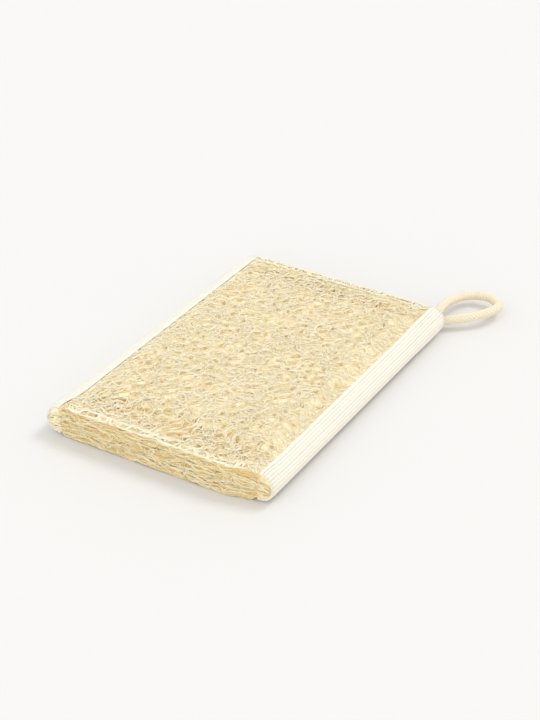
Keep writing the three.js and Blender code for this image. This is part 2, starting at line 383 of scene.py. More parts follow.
TAPE_COTTON = CottonFinish(
    "tape_cotton", (0.885, 0.855, 0.77), (0.66, 0.57, 0.41), (2200.0, 900.0, 2200.0), 0.5 * MM
)
CORD_COTTON = CottonFinish(
    "cord_cotton", (0.84, 0.775, 0.64), (0.82, 0.69, 0.45), (1900.0, 1900.0, 1900.0), 0.9 * MM
)


def new_object(name: str, mesh: bpy.types.Mesh, material: bpy.types.Material) -> bpy.types.Object:
    """Links a mesh to the scene as a piece that rides on the pad's body.

    Args:
        name: The piece's name.
        mesh: Its mesh, already in place.
        material: Its finish.

    Returns:
        The new object.
    """
    mesh.materials.clear()
    mesh.materials.append(material)
    made = bpy.data.objects.new(name, mesh)
    bpy.context.scene.collection.objects.link(made)
    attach(made, "root")
    log.info("%s: %d faces", name, len(mesh.polygons))
    return made


def write_depth(mesh: bpy.types.Mesh, measure: Callable[[Array], Array], shade: float = 0.0) -> None:
    """Stores how deep each vertex lies, which the finishes read to paint shade, warmer and darker the deeper
    it lies.

    Args:
        mesh: The mesh.
        measure: Returns the depths of points in space.
        shade: Painted shade: how much deeper a vertex counts, and so how much warmer it is painted, if its
            surface faces outwards.
    """
    points = np.empty(3 * len(mesh.vertices))
    mesh.vertices.foreach_get("co", points)
    points = points.reshape(-1, 3)
    depth = np.asarray(measure(points))
    # Painted shade: vertices whose surface faces outwards count deeper, so the finish paints them warmer.
    if shade > 0:
        normals = np.empty(points.size)
        mesh.vertex_normals.foreach_get("vector", normals)
        outward = (depth - measure(points + NORMAL_REACH * normals.reshape(-1, 3))) / NORMAL_REACH
        depth = depth + shade * (1 + np.clip(outward, -1, 1)) / 2
    layer = mesh.attributes.new("depth", "FLOAT", "POINT")
    layer.data.foreach_set("value", depth)


def face_rank(face: bmesh.types.BMFace) -> int:
    """Returns a number that puts faces in the order of their corners."""
    corners = [vert.index for vert in face.verts]
    return min(corners) * RANK_STEP + sum(corners)


def wrapped_grid(
    name: str, columns: int, rows: int, place: Callable[[Array, Array], Array], wall: float = 0.0
) -> bpy.types.Mesh:
    """Wraps a flat grid round a form.

    Args:
        name: The mesh's name.
        columns: Faces along the first direction, from 0 to 1.
        rows: Faces along the second direction, from 0 to 1.
        place: Takes both shares and returns the points.
        wall: Thickness given to an open form, against its normals; 0 where the rows meet and the two
            sides are filled.

    Returns:
        The mesh, with its faces outwards.
    """
    grid = bmesh.new()
    bmesh.ops.create_grid(grid, x_segments=columns, y_segments=rows, size=0.5)
    flat = np.array([v.co[:2] for v in grid.verts]) + 0.5
    for vert, point in zip(grid.verts, place(flat[:, 0], flat[:, 1])):
        vert.co = point
    grid.normal_update()
    if wall > 0:
        bmesh.ops.solidify(grid, geom=grid.faces[:], thickness=wall)
        # The rim's faces come in another order each run, so all are put in one order.
        grid.verts.index_update()
        grid.faces.sort(key=face_rank)
    else:
        bmesh.ops.remove_doubles(grid, verts=grid.verts, dist=WELD_REACH)
        rims = [edge for edge in grid.edges if edge.is_boundary]
        bmesh.ops.holes_fill(grid, edges=rims, sides=0)
    bmesh.ops.recalc_face_normals(grid, faces=grid.faces)
    for face in grid.faces:
        face.smooth = True
    mesh = bpy.data.meshes.new(name)
    grid.to_mesh(mesh)
    grid.free()
    return mesh


class StrandBundle:
    """Gathers strands and turns them into one mesh of slim tubes."""

    cap_reach = 0.0001 * MM

    def __init__(self, name: str, sides: int) -> None:
        """Starts an empty bundle.

        Args:
            name: The name of the mesh.
            sides: Sides of each tube.
        """
        self.name = name
        self.curve = bpy.data.curves.new(name + "_lines", "CURVE")
        self.curve.dimensions = "3D"
        self.curve.use_fill_caps = True
        self.curve.bevel_mode = "OBJECT"
        self.profile = self._ring(sides)
        self.curve.bevel_object = self.profile

    def _ring(self, sides: int) -> bpy.types.Object:
        """Returns a closed profile of radius 1, clockwise so that the tubes face outwards."""
        ring = bpy.data.curves.new(self.name + "_ring", "CURVE")
        ring.dimensions = "2D"
        line = ring.splines.new("POLY")
        line.points.add(sides - 1)
        for index, point in enumerate(line.points):
            turn = -TAU * index / sides
            point.co = (math.cos(turn), math.sin(turn), 0.0, 1.0)
        line.use_cyclic_u = True
        made = bpy.data.objects.new(self.name + "_ring", ring)
        bpy.context.scene.collection.objects.link(made)
        return made

    def add(self, points: Array, radii: Array) -> None:
        """Adds one strand.

        Args:
            points: Its line, one row for each point.
            radii: Its radius at each point.
        """
        line = self.curve.splines.new("POLY")
        line.points.add(len(points) - 1)
        line.points.foreach_set("co", np.column_stack([points, np.ones(len(points))]).ravel())
        line.points.foreach_set("radius", np.asarray(radii, dtype=float).ravel())
        line.use_smooth = True

    def _join_caps(self, mesh: bpy.types.Mesh) -> None:
        """Joins each tube to the caps at its two ends, which share its places but not its vertices."""
        tubes = bmesh.new()
        tubes.from_mesh(mesh)
        bmesh.ops.remove_doubles(tubes, verts=tubes.verts, dist=self.cap_reach)
        tubes.to_mesh(mesh)
        tubes.free()

    def to_mesh(self) -> bpy.types.Mesh:
        """Returns the tubes as one mesh, and removes the lines they came from."""
        lines = bpy.data.objects.new(self.name + "_lines", self.curve)
        bpy.context.scene.collection.objects.link(lines)
        depsgraph = bpy.context.evaluated_depsgraph_get()
        mesh = bpy.data.meshes.new_from_object(lines.evaluated_get(depsgraph))
        mesh.name = self.name
        self._join_caps(mesh)
        for spare in (lines, self.profile):
            data = spare.data
            bpy.data.objects.remove(spare)
            bpy.data.curves.remove(data)
        return mesh


@dataclass(frozen=True)
class PadShape:
    """Outer form of the pressed pad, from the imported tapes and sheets."""

    half_length: float
    half_width: float
    thickness: float
    tape_low: float
    tape_high: float
    tape_inner: float
    cloth_wall: float = 0.55 * MM
    gap: float = 0.35 * MM
    layer_gap: float = 0.05 * MM
    crown_half: float = 29 * MM
    under_lift: float = 0.25 * MM
    lip_drop: float = 0.9 * MM
    back_lip_drop: float = 2.4 * MM
    valley_depth: float = 1.2 * MM
    valley_inset: float = 10 * MM
    valley_spread: float = 4.6 * MM
    strand_rise: float = 0.3 * MM
    edge_rise: float = 0.55 * MM
    cord_room: float = 51 * MM
    flare: float = 0.27
    flare_length: float = 14 * MM
    flap_loss: float = 0.35
    flare_full: float = 1 * MM
    corner_setback: float = 2.1 * MM
    setback_length: float = 18 * MM
    setback_from: float = 23 * MM
    setback_to: float = 35 * MM
    fold_clearance: float = 0.03 * MM
    fold_fill: float = 0.985
    edge_room: float = 0.17
    crown_run: float = 2 * MM
    flat_lip: float = 1.8 * MM
    tight_lip: float = 2 * MM
    loose_lip: float = 5 * MM
    tight_from: float = 27 * MM
    tightness: float = 0.5
    valley_opening: float = 0.6

    @classmethod
    def from_frame(cls) -> "PadShape":
        """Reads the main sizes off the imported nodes."""
        low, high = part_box("edge_tape_right")
        tape_low, tape_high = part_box("edge_tape_left")
        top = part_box("loofah_sheet_top")[1].z
        return cls(high.y, high.x, top - cls.strand_rise, tape_low.z, tape_high.z, low.x)

    @property
    def bend(self) -> float:
        """How far the middle of each tape's fold lies from the pad's middle."""
        return self.half_width - (self.tape_high - self.tape_low) / 2

    @property
    def fold_inside(self) -> float:
        """Radius of the room for the sheets inside a tape's fold."""
        return (self.tape_high - self.tape_low) / 2 - self.cloth_wall - self.fold_clearance

    @property
    def fill_half(self) -> float:
        """Half the width of the sheets, with what lies inside the folds."""
        return self.bend + self.fold_fill * self.fold_inside

    @property
    def net_half(self) -> float:
        """Half the width of the netting between the tapes."""
        return self.tape_inner - self.gap / 2

    def flared(self, y: Array) -> Array:
        """Returns 1 at the front end, where the tapes grip less tightly, fading to 0 behind it."""
        return smooth_step(-y, self.half_length - self.flare_length, self.half_length - self.flare_full)

    def setback(self, across: Array, y: Array) -> Array:
        """Returns how far the right front corner is drawn back from the front edge."""
        near = smooth_step(-y, self.half_length - self.setback_length, self.half_length)
        return self.corner_setback * near * smooth_step(across, self.setback_from, self.setback_to)

    def net_limit(self, y: Array) -> Array:
        """Returns how far the netting reaches towards each tape."""
        return self.net_half + self.flap_loss * (self.bend - self.tape_inner) * self.flared(y)

    def crown(self, across: Array, y: Array) -> Array:
        """Returns 1 over the crown, falling to 0 where the tapes grip the sheets."""
        limit = self.net_limit(y)
        start = blend_values(self.crown_half, limit - self.crown_run, self.flared(y))
        share = np.clip((np.abs(across) - start) / (limit - start), 0, 1)
        return 1 - share * share * (3 - 2 * share)

    def heights(self, level: int, across: Array, y: Array) -> tuple[Array, Array]:
        """Returns the underside and the top of one sheet; level 0 is the lowest."""
        crown = self.crown(across, y)
        middle = (self.tape_low + self.tape_high) / 2
        inner = self.fold_inside
        into_fold = np.maximum(np.abs(across) - self.bend, 0)
        room = np.sqrt(np.maximum(inner**2 - into_fold**2, (self.edge_room * inner) ** 2))
        low = blend_values(middle - room, self.under_lift, crown)
        high = blend_values(middle + room * (1 + self.flare * self.flared(y)), self.thickness, crown)
        thick = (high - low - 2 * self.layer_gap) / 3
        under = low + level * (thick + self.layer_gap)
        return under, under + thick

    def openness(self, across: Array, y: Array) -> Array:
        """Returns how open the net is: below 0 by the tapes and on the lips, above 0 in the valleys."""
        inset = self.half_length - np.abs(y)
        valley = np.exp(-(((inset - self.valley_inset) / self.valley_spread) ** 2))
        edge = smooth_step(np.abs(across), self.tight_from, self.net_half)
        lip = 1 - smooth_step(inset, self.tight_lip, self.loose_lip)
        return self.valley_opening * valley - self.tightness * np.maximum(edge, lip)

    def dip(self, across: Array, y: Array) -> Array:
        """Returns how far the top face lies below its crown near the two unbound ends."""
        inset = self.half_length - np.abs(y)
        valley = self.valley_depth * np.exp(-(((inset - self.valley_inset) / self.valley_spread) ** 2))
        drop = np.where(y < 0, self.lip_drop, self.back_lip_drop)
        lip = drop * (1 - smooth_step(inset, self.flat_lip, self.valley_inset))
        return (valley + lip) * self.crown(across, y)


@dataclass(frozen=True)
class SheetSkin:
    """One sheet's surface, unrolled: up the front end, along the top, down the back, and underneath."""

    shape: PadShape
    lowest: int
    highest: int
    reach: float
    dips: bool = False
    end_round: float = 1.8 * MM
    end_skin: float = 5.6 * MM
    boxiness: float = 0.15
    ridge_start: float = 2.6 * MM
    ridge_full: float = 0.3 * MM
    ridge_end: float = 0.5 * MM

    @property
    def straight(self) -> float:
        """Half the length of the flat stretch between the rounded ends."""
        return self.reach - self.end_round

    @property
    def face(self) -> float:
        """Length of the top, and of the underside."""
        return 2 * self.straight

    @property
    def top_start(self) -> float:
        """Where the top begins along the skin."""
        return self.end_skin

    @property
    def back_start(self) -> float:
        """Where the back end begins along the skin."""
        return self.end_skin + self.face

    @property
    def under_start(self) -> float:
        """Where the underside begins along the skin."""
        return 2 * self.end_skin + self.face

    @property
    def around(self) -> float:
        """Length of the skin all the way round."""
        return 2 * (self.end_skin + self.face)

    def _top_and_under(self, across: Array, y: Array) -> tuple[Array, Array]:
        """Returns the height of the top and of the underside."""
        under = self.shape.heights(self.lowest, across, y)[0]
        over = self.shape.heights(self.highest, across, y)[1]
        if self.dips:
            beyond = np.abs(across) - self.shape.net_limit(y)
            rise = smooth_step(beyond, -self.ridge_start, -self.ridge_full)
            ridge = rise * (1 - smooth_step(beyond, 0, self.ridge_end))
            over = over - self.shape.dip(across, y) + self.shape.edge_rise * ridge
        return over, under

    def place(self, across: Array, along: Array, lift: Array) -> Array:
        """Puts points of the unrolled skin in space.

        Args:
            across: Their x.
            along: Their length along the skin, which may pass its start.
            lift: How far they stand out from it.

        Returns:
            The points.
        """
        along = np.mod(along, self.around)
        front = along < self.top_start
        back = (along >= self.back_start) & (along < self.under_start)
        under = along >= self.under_start
        run = np.clip(along - self.top_start, 0, self.face)
        run = np.where(under, self.around - along, run)
        middle = run - self.straight
        turn = np.full_like(along, math.pi / 2)
        turn = np.where(front, math.pi * (along / self.end_skin - 0.5), turn)
        turn = np.where(back, math.pi * (0.5 - (along - self.back_start) / self.end_skin), turn)
        turn = np.where(under, -math.pi / 2, turn)
        top, low = self._top_and_under(across, middle)
        half = (top - low) / 2
        side = np.where(middle > 0, 1.0, -1.0)
        normal = unit(np.stack([np.cos(turn) / self.end_round * side, np.sin(turn) / half], axis=-1))
        bulge = self.end_round * np.maximum(np.cos(turn), 0) ** self.boxiness
        y = middle + side * bulge + normal[..., 0] * lift
        y = y + self.shape.setback(across, y)
        z = low + half + half * np.sin(turn) + normal[..., 1] * lift
        return np.stack([across, y, z], axis=-1)

    def depth(self, points: Array) -> Array:
        """Returns how far points lie inside the skin."""
        across, y, z = points.T
        y = y - self.shape.setback(across, y)
        top, low = self._top_and_under(across, np.clip(y, -self.straight, self.straight))
        half = (top - low) / 2
        beyond = (np.maximum(np.abs(y) - self.straight, 0) / self.end_round) ** (1 / self.boxiness)
        level = (z - low - half) / half
        at_end = (1 - np.hypot(beyond, level)) * self.end_round
        return np.where(beyond > 0, at_end, np.minimum(top - z, z - low))


class RippleField:
    """Random ripples over the unrolled skin, whose contour lines the strands follow."""

    def __init__(
        self, seed: int, shortest: float, longest: float, stretch: float = 1.0, count: int = 30
    ) -> None:
        """Draws the ripples.

        Args:
            seed: Start of the random draw.
            shortest: Shortest wavelength.
            longest: Longest wavelength.
            stretch: How much longer the ripples are across the pad than along the skin.
            count: How many ripples are summed.
        """
        random = np.random.default_rng(seed)
        turn = random.uniform(0, TAU, count)
        length = random.uniform(shortest, longest, count)
        self.wave = np.stack([np.cos(turn) / stretch, np.sin(turn)]) * TAU / length
        self.phase = random.uniform(0, TAU, count)
        self.size = (length / longest) * math.sqrt(2 / count)

    def _angles(self, places: Array) -> Array:
        """Returns each ripple's phase at the places."""
        return places @ self.wave + self.phase

    def height(self, places: Array) -> Array:
        """Returns the sum of the ripples, mostly between -2 and 2."""
        return (self.size * np.cos(self._angles(places))).sum(axis=-1)

    def contour(self, places: Array) -> Array:
        """Returns the direction of the contour line at the places."""
        slope = -(self.size * np.sin(self._angles(places))) @ self.wave.T
        return unit(np.stack([-slope[..., 1], slope[..., 0]], axis=-1))


@dataclass(frozen=True)
class Zone:
    """A stretch of the unrolled skin that strands may lie on."""

    left: float
    right: float
    start: float
    end: float

    def draw(self, random: np.random.Generator, count: int) -> Array:
        """Returns places spread at random over the zone."""
        across = random.uniform(self.left, self.right, count)
        return np.stack([across, random.uniform(self.start, self.end, count)], axis=-1)

    def holds(self, places: Array) -> Array:
        """Returns whether the places lie in the zone."""
        across, along = places[..., 0], places[..., 1]
        inside = (across > self.left) & (across < self.right)
        return inside & (along > self.start) & (along < self.end)


@dataclass(frozen=True)
class Patch:
    """A zone of one skin, with the ripples that its strands and its pits follow."""

    skin: SheetSkin
    zone: Zone
    field: RippleField
    pit_level: float = 0.8
    pit_rim: float = 0.22

    def pits(self, places: Array, openness: Array) -> Array:
        """Returns 1 in the net's holes, and 0 between them and outside the zone."""
        height = self.field.height(places) + openness
        return smooth_step(height, self.pit_level, self.pit_level + self.pit_rim) * self.zone.holds(places)


@dataclass(frozen=True)
class Crop:
    """One crop of strands: how many, how long and thick, how deep they lie, and how they wander."""

    count: int
    steps: int
    stride: float
    radius: float
    low: float
    high: float
    weave: float = 0.12 * MM
    weave_length: float = 4.5 * MM
    stiffness: float = 0.45
    spread: float = 0.25
    cross_share: float = 0.2
    hole_level: float = 0.9
    from_level: float = -9.0
    curl: float = 0.0

    draws = 30
    crossing_turns = (0.6, 2.5)
    curl_range = (0.3, 1.4)
    curl_wobble = 0.3
    length_range = (0.7, 1.4)
    radius_range = (0.75, 1.25)
    radius_wave = 0.12
    tip = 0.55

    def starts(self, field: RippleField, zone: Zone, random: np.random.Generator) -> Array:
        """Returns where the strands start: between the levels, or anywhere below the holes."""
        drawn = zone.draw(random, self.draws * self.count)
        height = field.height(drawn)
        fitting = drawn[(height > self.from_level) & (height < self.hole_level)]
        return fitting[: self.count]

    def trace(self, field: RippleField, zone: Zone, random: np.random.Generator) -> tuple[Array, Array]:
        """Lets the strands grow along the field, or in free curls.

        Returns:
            The places, by step and strand, and the number of steps that each strand keeps.
        """
        place = self.starts(field, zone, random)
        count = len(place)
        crossing = random.random(count) < self.cross_share
        turn = random.normal(0, self.spread, count)
        turn += np.where(crossing, random.uniform(*self.crossing_turns, count), 0)
        bend = self.curl * random.choice((-1, 1), count) * random.uniform(*self.curl_range, count)
        places = [place]
        heading = rotate(field.contour(place), turn)
        for _ in range(self.steps):
            if self.curl > 0:
                heading = rotate(heading, bend + self.curl_wobble * self.curl * random.normal(0, 1, count))
            else:
                flow = rotate(field.contour(place), turn)
                flow *= np.where((flow * heading).sum(axis=-1, keepdims=True) < 0, -1.0, 1.0)
                heading = unit(blend_values(flow, heading, self.stiffness))
            place = place + self.stride * heading
            places.append(place)
        track = np.array(places)
        stops = ~zone.holds(track)
        stops |= (field.height(track) > self.hole_level) & ~crossing
        kept = np.where(stops.any(axis=0), stops.argmax(axis=0), len(track))
        return track, kept

    def lay(self, bundle: StrandBundle, patch: Patch, seed: int) -> None:
        """Grows the strands and adds them to a bundle.

        Args:
            bundle: Where the strands go.
            patch: The skin that they lie on, the zone they keep to and the ripples they follow.
            seed: Start of the random draw.
        """
        random = np.random.default_rng(seed)
        track, kept = self.trace(patch.field, patch.zone, random)
        count = track.shape[1]
        base = random.uniform(self.low, self.high, count)
        length = self.weave_length * random.uniform(*self.length_range, count)
        steps = np.arange(len(track))[:, None]
        wave = np.sin(TAU * steps * self.stride / length + random.uniform(0, TAU, count))
        radius = self.radius * random.uniform(*self.radius_range, count) * (1 + self.radius_wave * wave)
        points = patch.skin.place(track[..., 0], track[..., 1], base + self.weave * wave)
        points[..., 2] = np.maximum(points[..., 2], radius)
        for index in np.flatnonzero(kept > 2):
            end = kept[index]
            taper = np.minimum(np.arange(end), np.arange(end)[::-1])
            slim = np.where(taper < 1, self.tip, 1.0)
            bundle.add(points[:end, index], radius[:end, index] * slim)


class Netting:
    """The fibre netting of the three pressed sheets."""

    mat_sink = 0.28 * MM
    pit_depth = 0.85 * MM
    end_step = 0.3 * MM
    # Painted shade on the fibres' outward-facing sides, given as extra depth.
    strand_shade = 0.3 * MM
    open_sink = 1.3
    mat_step = 1.8 * MM
    under_tape = 0.5 * MM
    past_end = 1 * MM
    end_overlap = 0.5 * MM
    end_pit_level = 0.35
    cord_fade = 2 * MM
    cord_gap = 0.2 * MM
    grip_fade = 1 * MM
    lip_beyond = 1.3 * MM
    lip_within = 1.5 * MM

    def __init__(self, shape: PadShape) -> None:
        """Prepares the skins of the sheets and of the whole stack, and their patches."""
        self.shape = shape
        self.top = SheetSkin(shape, 2, 2, 60.1 * MM, dips=True)
        self.middle = SheetSkin(shape, 1, 1, 60.2 * MM)
        self.bottom = SheetSkin(shape, 0, 0, 60.0 * MM)
        self.stack = SheetSkin(shape, 0, 2, 60.25 * MM, dips=True, end_skin=14 * MM, boxiness=0.3)
        self.fibre = LOOFAH.make()
        self.end_fibre = LOOFAH_END.make()
        self.mat = LOOFAH_MAT.make()
        half = shape.tape_inner + self.under_tape
        over = Zone(-half, half, self.top.top_start - self.past_end, self.top.back_start + self.past_end)
        self.over = Patch(self.top, over, RippleField(5, 2.4 * MM, 5.0 * MM, stretch=0.85), 0.7)
        start, end = self.bottom.under_start - self.past_end, self.bottom.around + self.past_end
        below = Zone(-half, half, start, end)
        self.below = Patch(self.bottom, below, RippleField(9, 3.0 * MM, 6.0 * MM))
        self.front = [self.end_patch(skin, 0, 20 + n) for n, skin in enumerate(self.skins())]
        self.back = [self.end_patch(skin, 1, 30 + n) for n, skin in enumerate(self.skins())]

    def skins(self) -> tuple[SheetSkin, ...]:
        """Returns the skins of the sheets, from the lowest up, and of the stack."""
        return self.bottom, self.middle, self.top, self.stack

    def end_patch(self, skin: SheetSkin, end: int, seed: int) -> Patch:
        """Returns the patch over one end of a skin.

        Args:
            skin: The skin.
            end: 0 for the front end and 1 for the back end, where the cord needs room.
            seed: Start of the ripples.
        """
        start = (0.0, skin.back_start)[end]
        right = (self.shape.fill_half, self.shape.net_half)[end]
        end_of_zone = start + skin.end_skin + self.end_overlap
        zone = Zone(-self.shape.fill_half, right, start - self.end_overlap, end_of_zone)
        return Patch(skin, zone, RippleField(seed, 1.3 * MM, 2.8 * MM, stretch=3.0), self.end_pit_level)

    def build(self) -> None:
        """Builds every piece of the netting."""
        self.cores()
        self.top_face()
        self.lips()
        self.ends()
        self.underside()

    def finished(
        self, mesh: bpy.types.Mesh, skins: Sequence[SheetSkin], material: bpy.types.Material
    ) -> bpy.types.Object:
        """Gives a mesh its depth below the skin, and makes it a piece.

        Args:
            mesh: The strands.
            skins: The skins that the depth is measured from, the deepest of which counts.
            material: The finish.

        Returns:
            The piece.
        """
        # The fibres get painted shade on their outward-facing sides; the mat gets none.
        shade = 0.0 if material is self.mat else self.strand_shade
        write_depth(mesh, lambda points: np.max([skin.depth(points) for skin in skins], axis=0), shade)
        piece = new_object(mesh.name, mesh, material)
        return piece

    def core_rows(self, skin: SheetSkin, top_step: float, under_step: float) -> Array:
        """Returns the places round a skin at which its core has rows.

        Args:
            skin: The skin.
            top_step: Distance between rows on the top.
            under_step: Distance between rows on the underside.
        """
        marks = (0.0, skin.top_start, skin.back_start, skin.under_start, skin.around)
        steps = (self.end_step, top_step, self.end_step, under_step)
        parts = [
            np.linspace(start, end, round((end - start) / step), endpoint=False)
            for start, end, step in zip(marks, marks[1:], steps)
        ]
        return np.concatenate([*parts, [skin.around]])

    def cores(self) -> None:
        """Builds the pressed mat of each sheet, with pits where the net over it has holes."""
        coarse = self.mat_step
        plans = (
            ("bottom", self.bottom, 100, coarse, 0.9 * MM, (self.front[0], self.back[0], self.below)),
            ("middle", self.middle, 90, coarse, coarse, (self.front[1], self.back[1])),
            ("top", self.top, 170, 0.42 * MM, coarse, (self.front[2], self.back[2], self.over)),
        )
        for name, skin, columns, top_step, under_step, patches in plans:
            rows = self.core_rows(skin, top_step, under_step)

            def place(
                across: Array,
                around: Array,
                skin: SheetSkin = skin,
                rows: Array = rows,
                patches: tuple[Patch, ...] = patches,
            ) -> Array:
                """Places the mat's surface."""
                along = np.interp(around * (len(rows) - 1), np.arange(len(rows)), rows)
                return self.mat_point(skin, across, along, patches)

            mesh = wrapped_grid(f"loofah_{name}_core", columns, len(rows) - 1, place)
            piece = self.finished(mesh, [skin], self.mat)
            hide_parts(f"loofah_sheet_{name}")

    def mat_point(
        self, skin: SheetSkin, across: Array, along: Array, patches: Sequence[Patch]
    ) -> Array:
        """Returns points of a sheet's mat, which keeps clear of the cord in the far right corner.

        Args:
            skin: The sheet's skin.
            across: Shares of the width.
            along: Lengths along the skin.
            patches: The patches whose holes leave pits in it.
        """
        left = -self.shape.fill_half
        y = skin.place(np.zeros_like(along), along, np.zeros_like(along))[:, 1]
        near_cord = smooth_step(y, self.shape.cord_room - self.cord_fade, self.shape.cord_room)
        right = blend_values(-left, self.shape.net_half - self.cord_gap, near_cord)
        x = blend_values(left, right, across)
        openness = self.shape.openness(x, y)
        places = np.stack([x, along], axis=-1)
        pits = np.max([patch.pits(places, openness) for patch in patches], axis=0)
        between = 1 - smooth_step(np.abs(x), self.shape.net_half - self.grip_fade, self.shape.bend)
        sink = between * self.mat_sink * (1 + self.open_sink * np.maximum(openness, 0))
        sink = sink + self.pit_depth * pits
        return skin.place(x, along, -sink)

    def top_face(self) -> None:
        """Lays the net over the crowned top, from lip to lip."""
        deep = StrandBundle("loofah_top_net_deep", FIBRE_SIDES)
        bed = Crop(1300, 10, 0.8 * MM, 0.13 * MM, -0.38 * MM, -0.16 * MM, spread=0.5, cross_share=0.1)
        replace(bed, hole_level=0.78).lay(deep, self.over, 102)
        self.finished(deep.to_mesh(), [self.top], self.fibre)
        ring = Crop(2600, 9, 0.4 * MM, 0.13 * MM, -0.2 * MM, 0.05 * MM, weave=0.05 * MM, weave_length=3 * MM)
        ring = replace(ring, stiffness=0.1, spread=0.08, cross_share=0.0, hole_level=0.8, from_level=0.25)
        rims = StrandBundle("loofah_top_net_rims", FIBRE_SIDES)
        ring.lay(rims, self.over, 103)
        self.finished(rims.to_mesh(), [self.top], self.fibre)
        fine = StrandBundle("loofah_top_net_fine", FIBRE_SIDES)
        thin = Crop(2500, 10, 0.7 * MM, 0.12 * MM, -0.2 * MM, 0.05 * MM, weave=0.08 * MM, cross_share=0.1)
        replace(thin, hole_level=0.7).lay(fine, self.over, 104)
        self.finished(fine.to_mesh(), [self.top], self.fibre)
        curls = StrandBundle("loofah_top_net_curls", FIBRE_SIDES)
        loose = Crop(1050, 14, 0.5 * MM, 0.13 * MM, -0.05 * MM, 0.16 * MM, weave=0.08 * MM, curl=0.3)
        replace(loose, cross_share=1.0).lay(curls, self.over, 105)
        self.finished(curls.to_mesh(), [self.top], self.fibre)

    def lips(self) -> None:
        """Lays thick pale strands along the front lip, and finer, closer ones along the back lip."""
        half = self.shape.net_half + 0.6 * MM
        bundle = StrandBundle("loofah_lip_net", FIBRE_SIDES)
        band = Crop(280, 9, 0.6 * MM, 0.22 * MM, -0.12 * MM, 0.12 * MM, weave=0.06 * MM)
        band = replace(band, spread=0.15, cross_share=0.05)
        fine_band = replace(band, count=480, radius=0.15 * MM, spread=0.5, hole_level=9.0)
        for crop, start, end, seed in (
            (band, self.top.top_start - self.lip_beyond, self.top.top_start + self.lip_within, 41),
            (fine_band, self.top.back_start - self.lip_within, self.top.back_start + self.lip_beyond, 42),
        ):
            field = RippleField(seed, 2.0 * MM, 3.6 * MM, stretch=2.2)
            crop.lay(bundle, Patch(self.top, Zone(-half, half, start, end), field), seed)
        self.finished(bundle.to_mesh(), [self.top], self.fibre)

    def ends(self) -> None:
        """Lays wavy strands over the front and back ends of the three sheets, and across their joints."""
        front = Crop(190, 12, 0.8 * MM, 0.15 * MM, -0.4 * MM, -0.15 * MM, weave=0.08 * MM)
        front = replace(front, weave_length=6 * MM, stiffness=0.3, spread=0.08, cross_share=0.03)
        back = replace(front, count=110)
        for name, patches, wavy in (("front", self.front, front), ("back", self.back, back)):
            count = round(1.5 * wavy.count)
            outer = replace(wavy, count=count, steps=10, radius=0.12 * MM, low=-0.18 * MM, high=0.08 * MM)
            bundle = StrandBundle(f"loofah_{name}_end_net", FIBRE_SIDES)
            for index, patch in enumerate(patches):
                seed = int(patch.zone.start / MM) + 200 + 20 * index
                wavy.lay(bundle, patch, seed)
                outer.lay(bundle, patch, seed + 5)
            self.finished(bundle.to_mesh(), [self.bottom, self.middle, self.top], self.end_fibre)

    def underside(self) -> None:
        """Lays the net over the underside, pressed level."""
        bundle = StrandBundle("loofah_underside_net", FIBRE_SIDES)
        Crop(400, 11, 0.85 * MM, 0.2 * MM, -0.5 * MM, -0.2 * MM).lay(bundle, self.below, 301)
        Crop(800, 10, 0.8 * MM, 0.17 * MM, -0.2 * MM, 0.06 * MM).lay(bundle, self.below, 302)
        self.finished(bundle.to_mesh(), [self.bottom], self.fibre)


class Side(Enum):
    """The pad's two bound sides."""

    LEFT = -1
    RIGHT = 1


